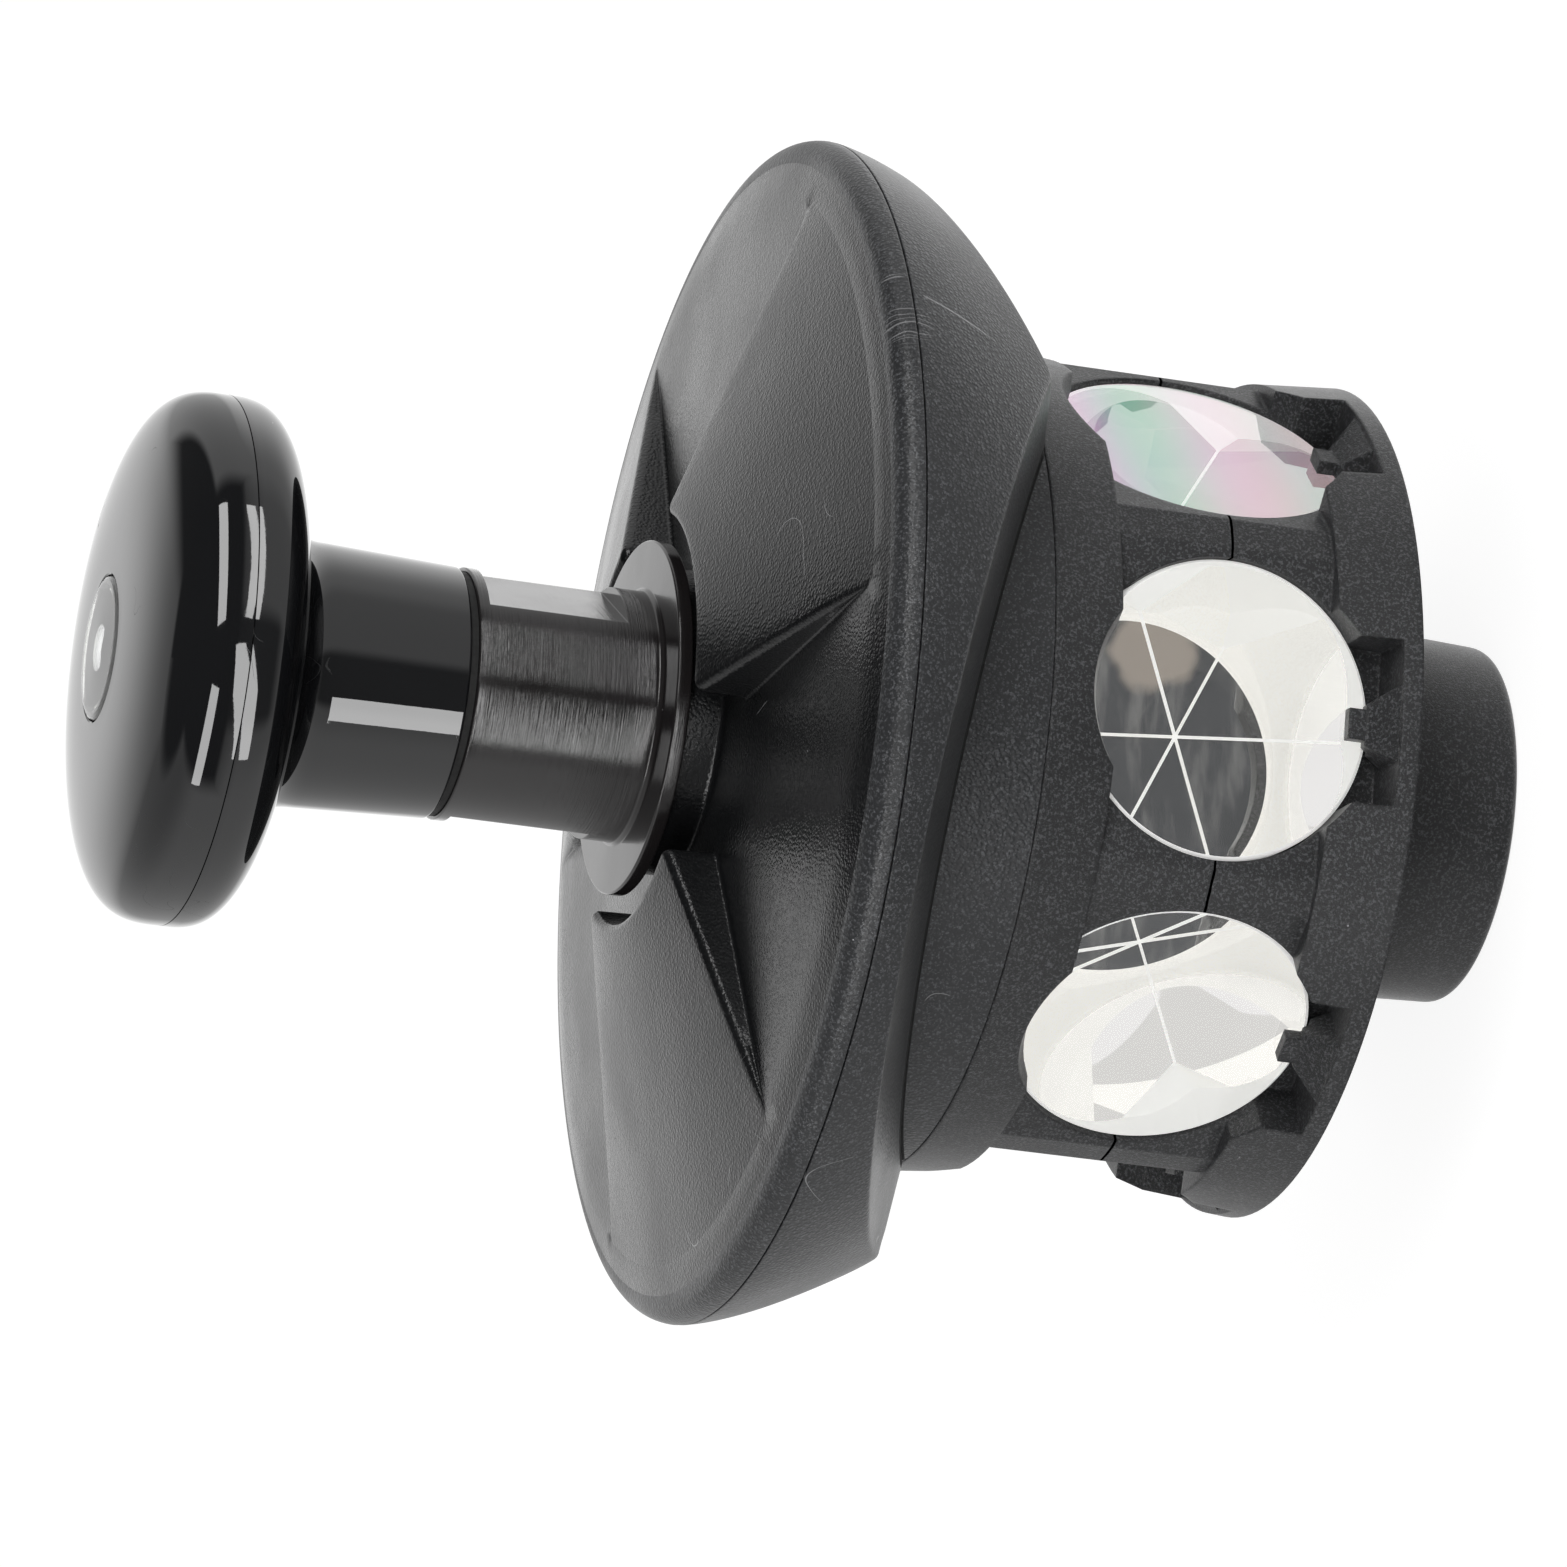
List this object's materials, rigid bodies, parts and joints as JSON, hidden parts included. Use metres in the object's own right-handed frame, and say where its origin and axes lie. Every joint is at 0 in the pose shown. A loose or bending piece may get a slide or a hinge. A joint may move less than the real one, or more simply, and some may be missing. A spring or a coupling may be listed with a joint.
{
  "type": "surveying prism",
  "caption": "Omnidirectional surveying prism: a ring of glass corner cubes under a round three-lobed hood, with a threaded pole socket and a screw-on knob that carries a bull's eye level.",
  "frame": {"origin": "centre of the pole socket's end face", "axes": "+Z along the pole axis, from the socket up to the knob; +Y out of prism_1 and along the middle of a raised petal; -Y along the middle of a recess"},
  "size_m": [0.101, 0.101, 0.1209],
  "materials": {
    "hood_plastic": "black moulded plastic with a fine leather grain",
    "frame_plastic": "black moulded plastic with a fine spark texture",
    "prism_glass": "polished optical glass with silvered rear faces",
    "bare_aluminium": "turned",
    "black_anodised": "black anodised, turned",
    "bushing_brass": "turned",
    "soft_rubber": "matte",
    "screw_steel": "zinc plated",
    "washer_nylon": "smooth",
    "knob_gloss": "polished black",
    "vial_acrylic": "clear acrylic",
    "vial_white": "white",
    "vial_liquid": "clear liquid",
    "vial_air": "air bubble"
  },
  "bodies": {
    "body": {"top_shell": "hood_plastic", "lower_shell": "hood_plastic", "upper_frame": "frame_plastic", "lower_frame": "frame_plastic", "prism_1": "prism_glass", "prism_2": "prism_glass", "prism_3": "prism_glass", "prism_4": "prism_glass", "prism_5": "prism_glass", "prism_6": "prism_glass", "prism_7": "prism_glass", "core_tube": "bare_aluminium", "core_sleeve": "soft_rubber", "base_bushing": "bushing_brass", "socket_boot": "frame_plastic", "stub_adapter": "black_anodised", "flange_seal": "soft_rubber", "frame_screws": "screw_steel"},
    "washer": {"neck_washer": "washer_nylon"},
    "knob": {"knob_base": "knob_gloss", "knob_cap": "knob_gloss", "knob_insert": "bushing_brass", "vial_body": "vial_acrylic", "vial_plug": "vial_white", "vial_fluid": "vial_liquid", "vial_bubble": "vial_air", "vial_backing": "vial_white"}
  },
  "joints": [
    {"name": "knob_lift", "type": "slide", "parent": "body", "child": "washer", "axis": [0, 0, 1], "range_m": [0, 0.01155]},
    {"name": "knob_turn", "type": "hinge", "parent": "washer", "child": "knob", "pos_m": [0, 0, 0.1], "axis": [0, 0, 1], "range_deg": [0, 1800]}
  ],
  "couplings": [
    {"joint": "knob_lift", "follows": "knob_turn", "m_per_rad": 0.0003675}
  ]
}
